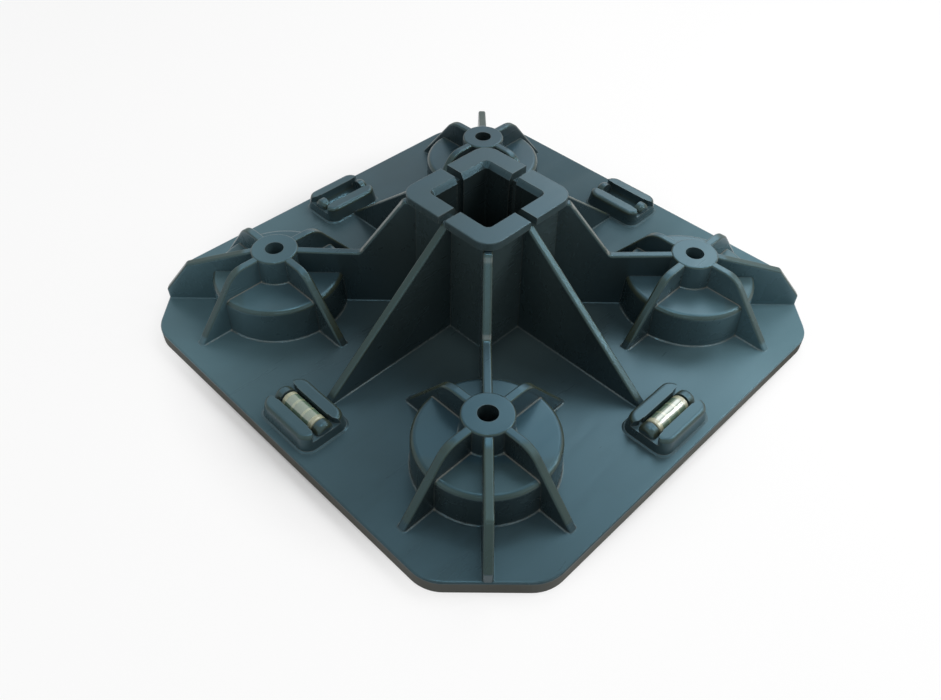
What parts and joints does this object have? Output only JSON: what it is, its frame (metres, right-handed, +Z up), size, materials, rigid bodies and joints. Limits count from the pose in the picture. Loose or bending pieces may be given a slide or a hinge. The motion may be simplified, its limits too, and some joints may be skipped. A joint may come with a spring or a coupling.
{
  "type": "strut ground base",
  "caption": "Square ribbed plastic foot with an upright square socket for a strut channel, bossed corner hubs with fixing holes, and level vials set into its sides.",
  "frame": {"origin": "middle of the plate's underside", "axes": "+Z up along the socket, plate sides along X and Y, level vials on the +X and -Y sides"},
  "size_m": [0.32, 0.32, 0.0895],
  "materials": {
    "moulding": "satin",
    "barrel": "clear",
    "fluid": "clear",
    "plug": "satin"
  },
  "bodies": {
    "root": {"base_moulding": "moulding", "vial_barrel_left": "barrel", "vial_barrel_right": "barrel", "vial_fluid_left": "fluid", "vial_fluid_right": "fluid", "vial_plug_left_a": "plug", "vial_plug_left_b": "plug", "vial_plug_right_a": "plug", "vial_plug_right_b": "plug"}
  },
  "joints": []
}
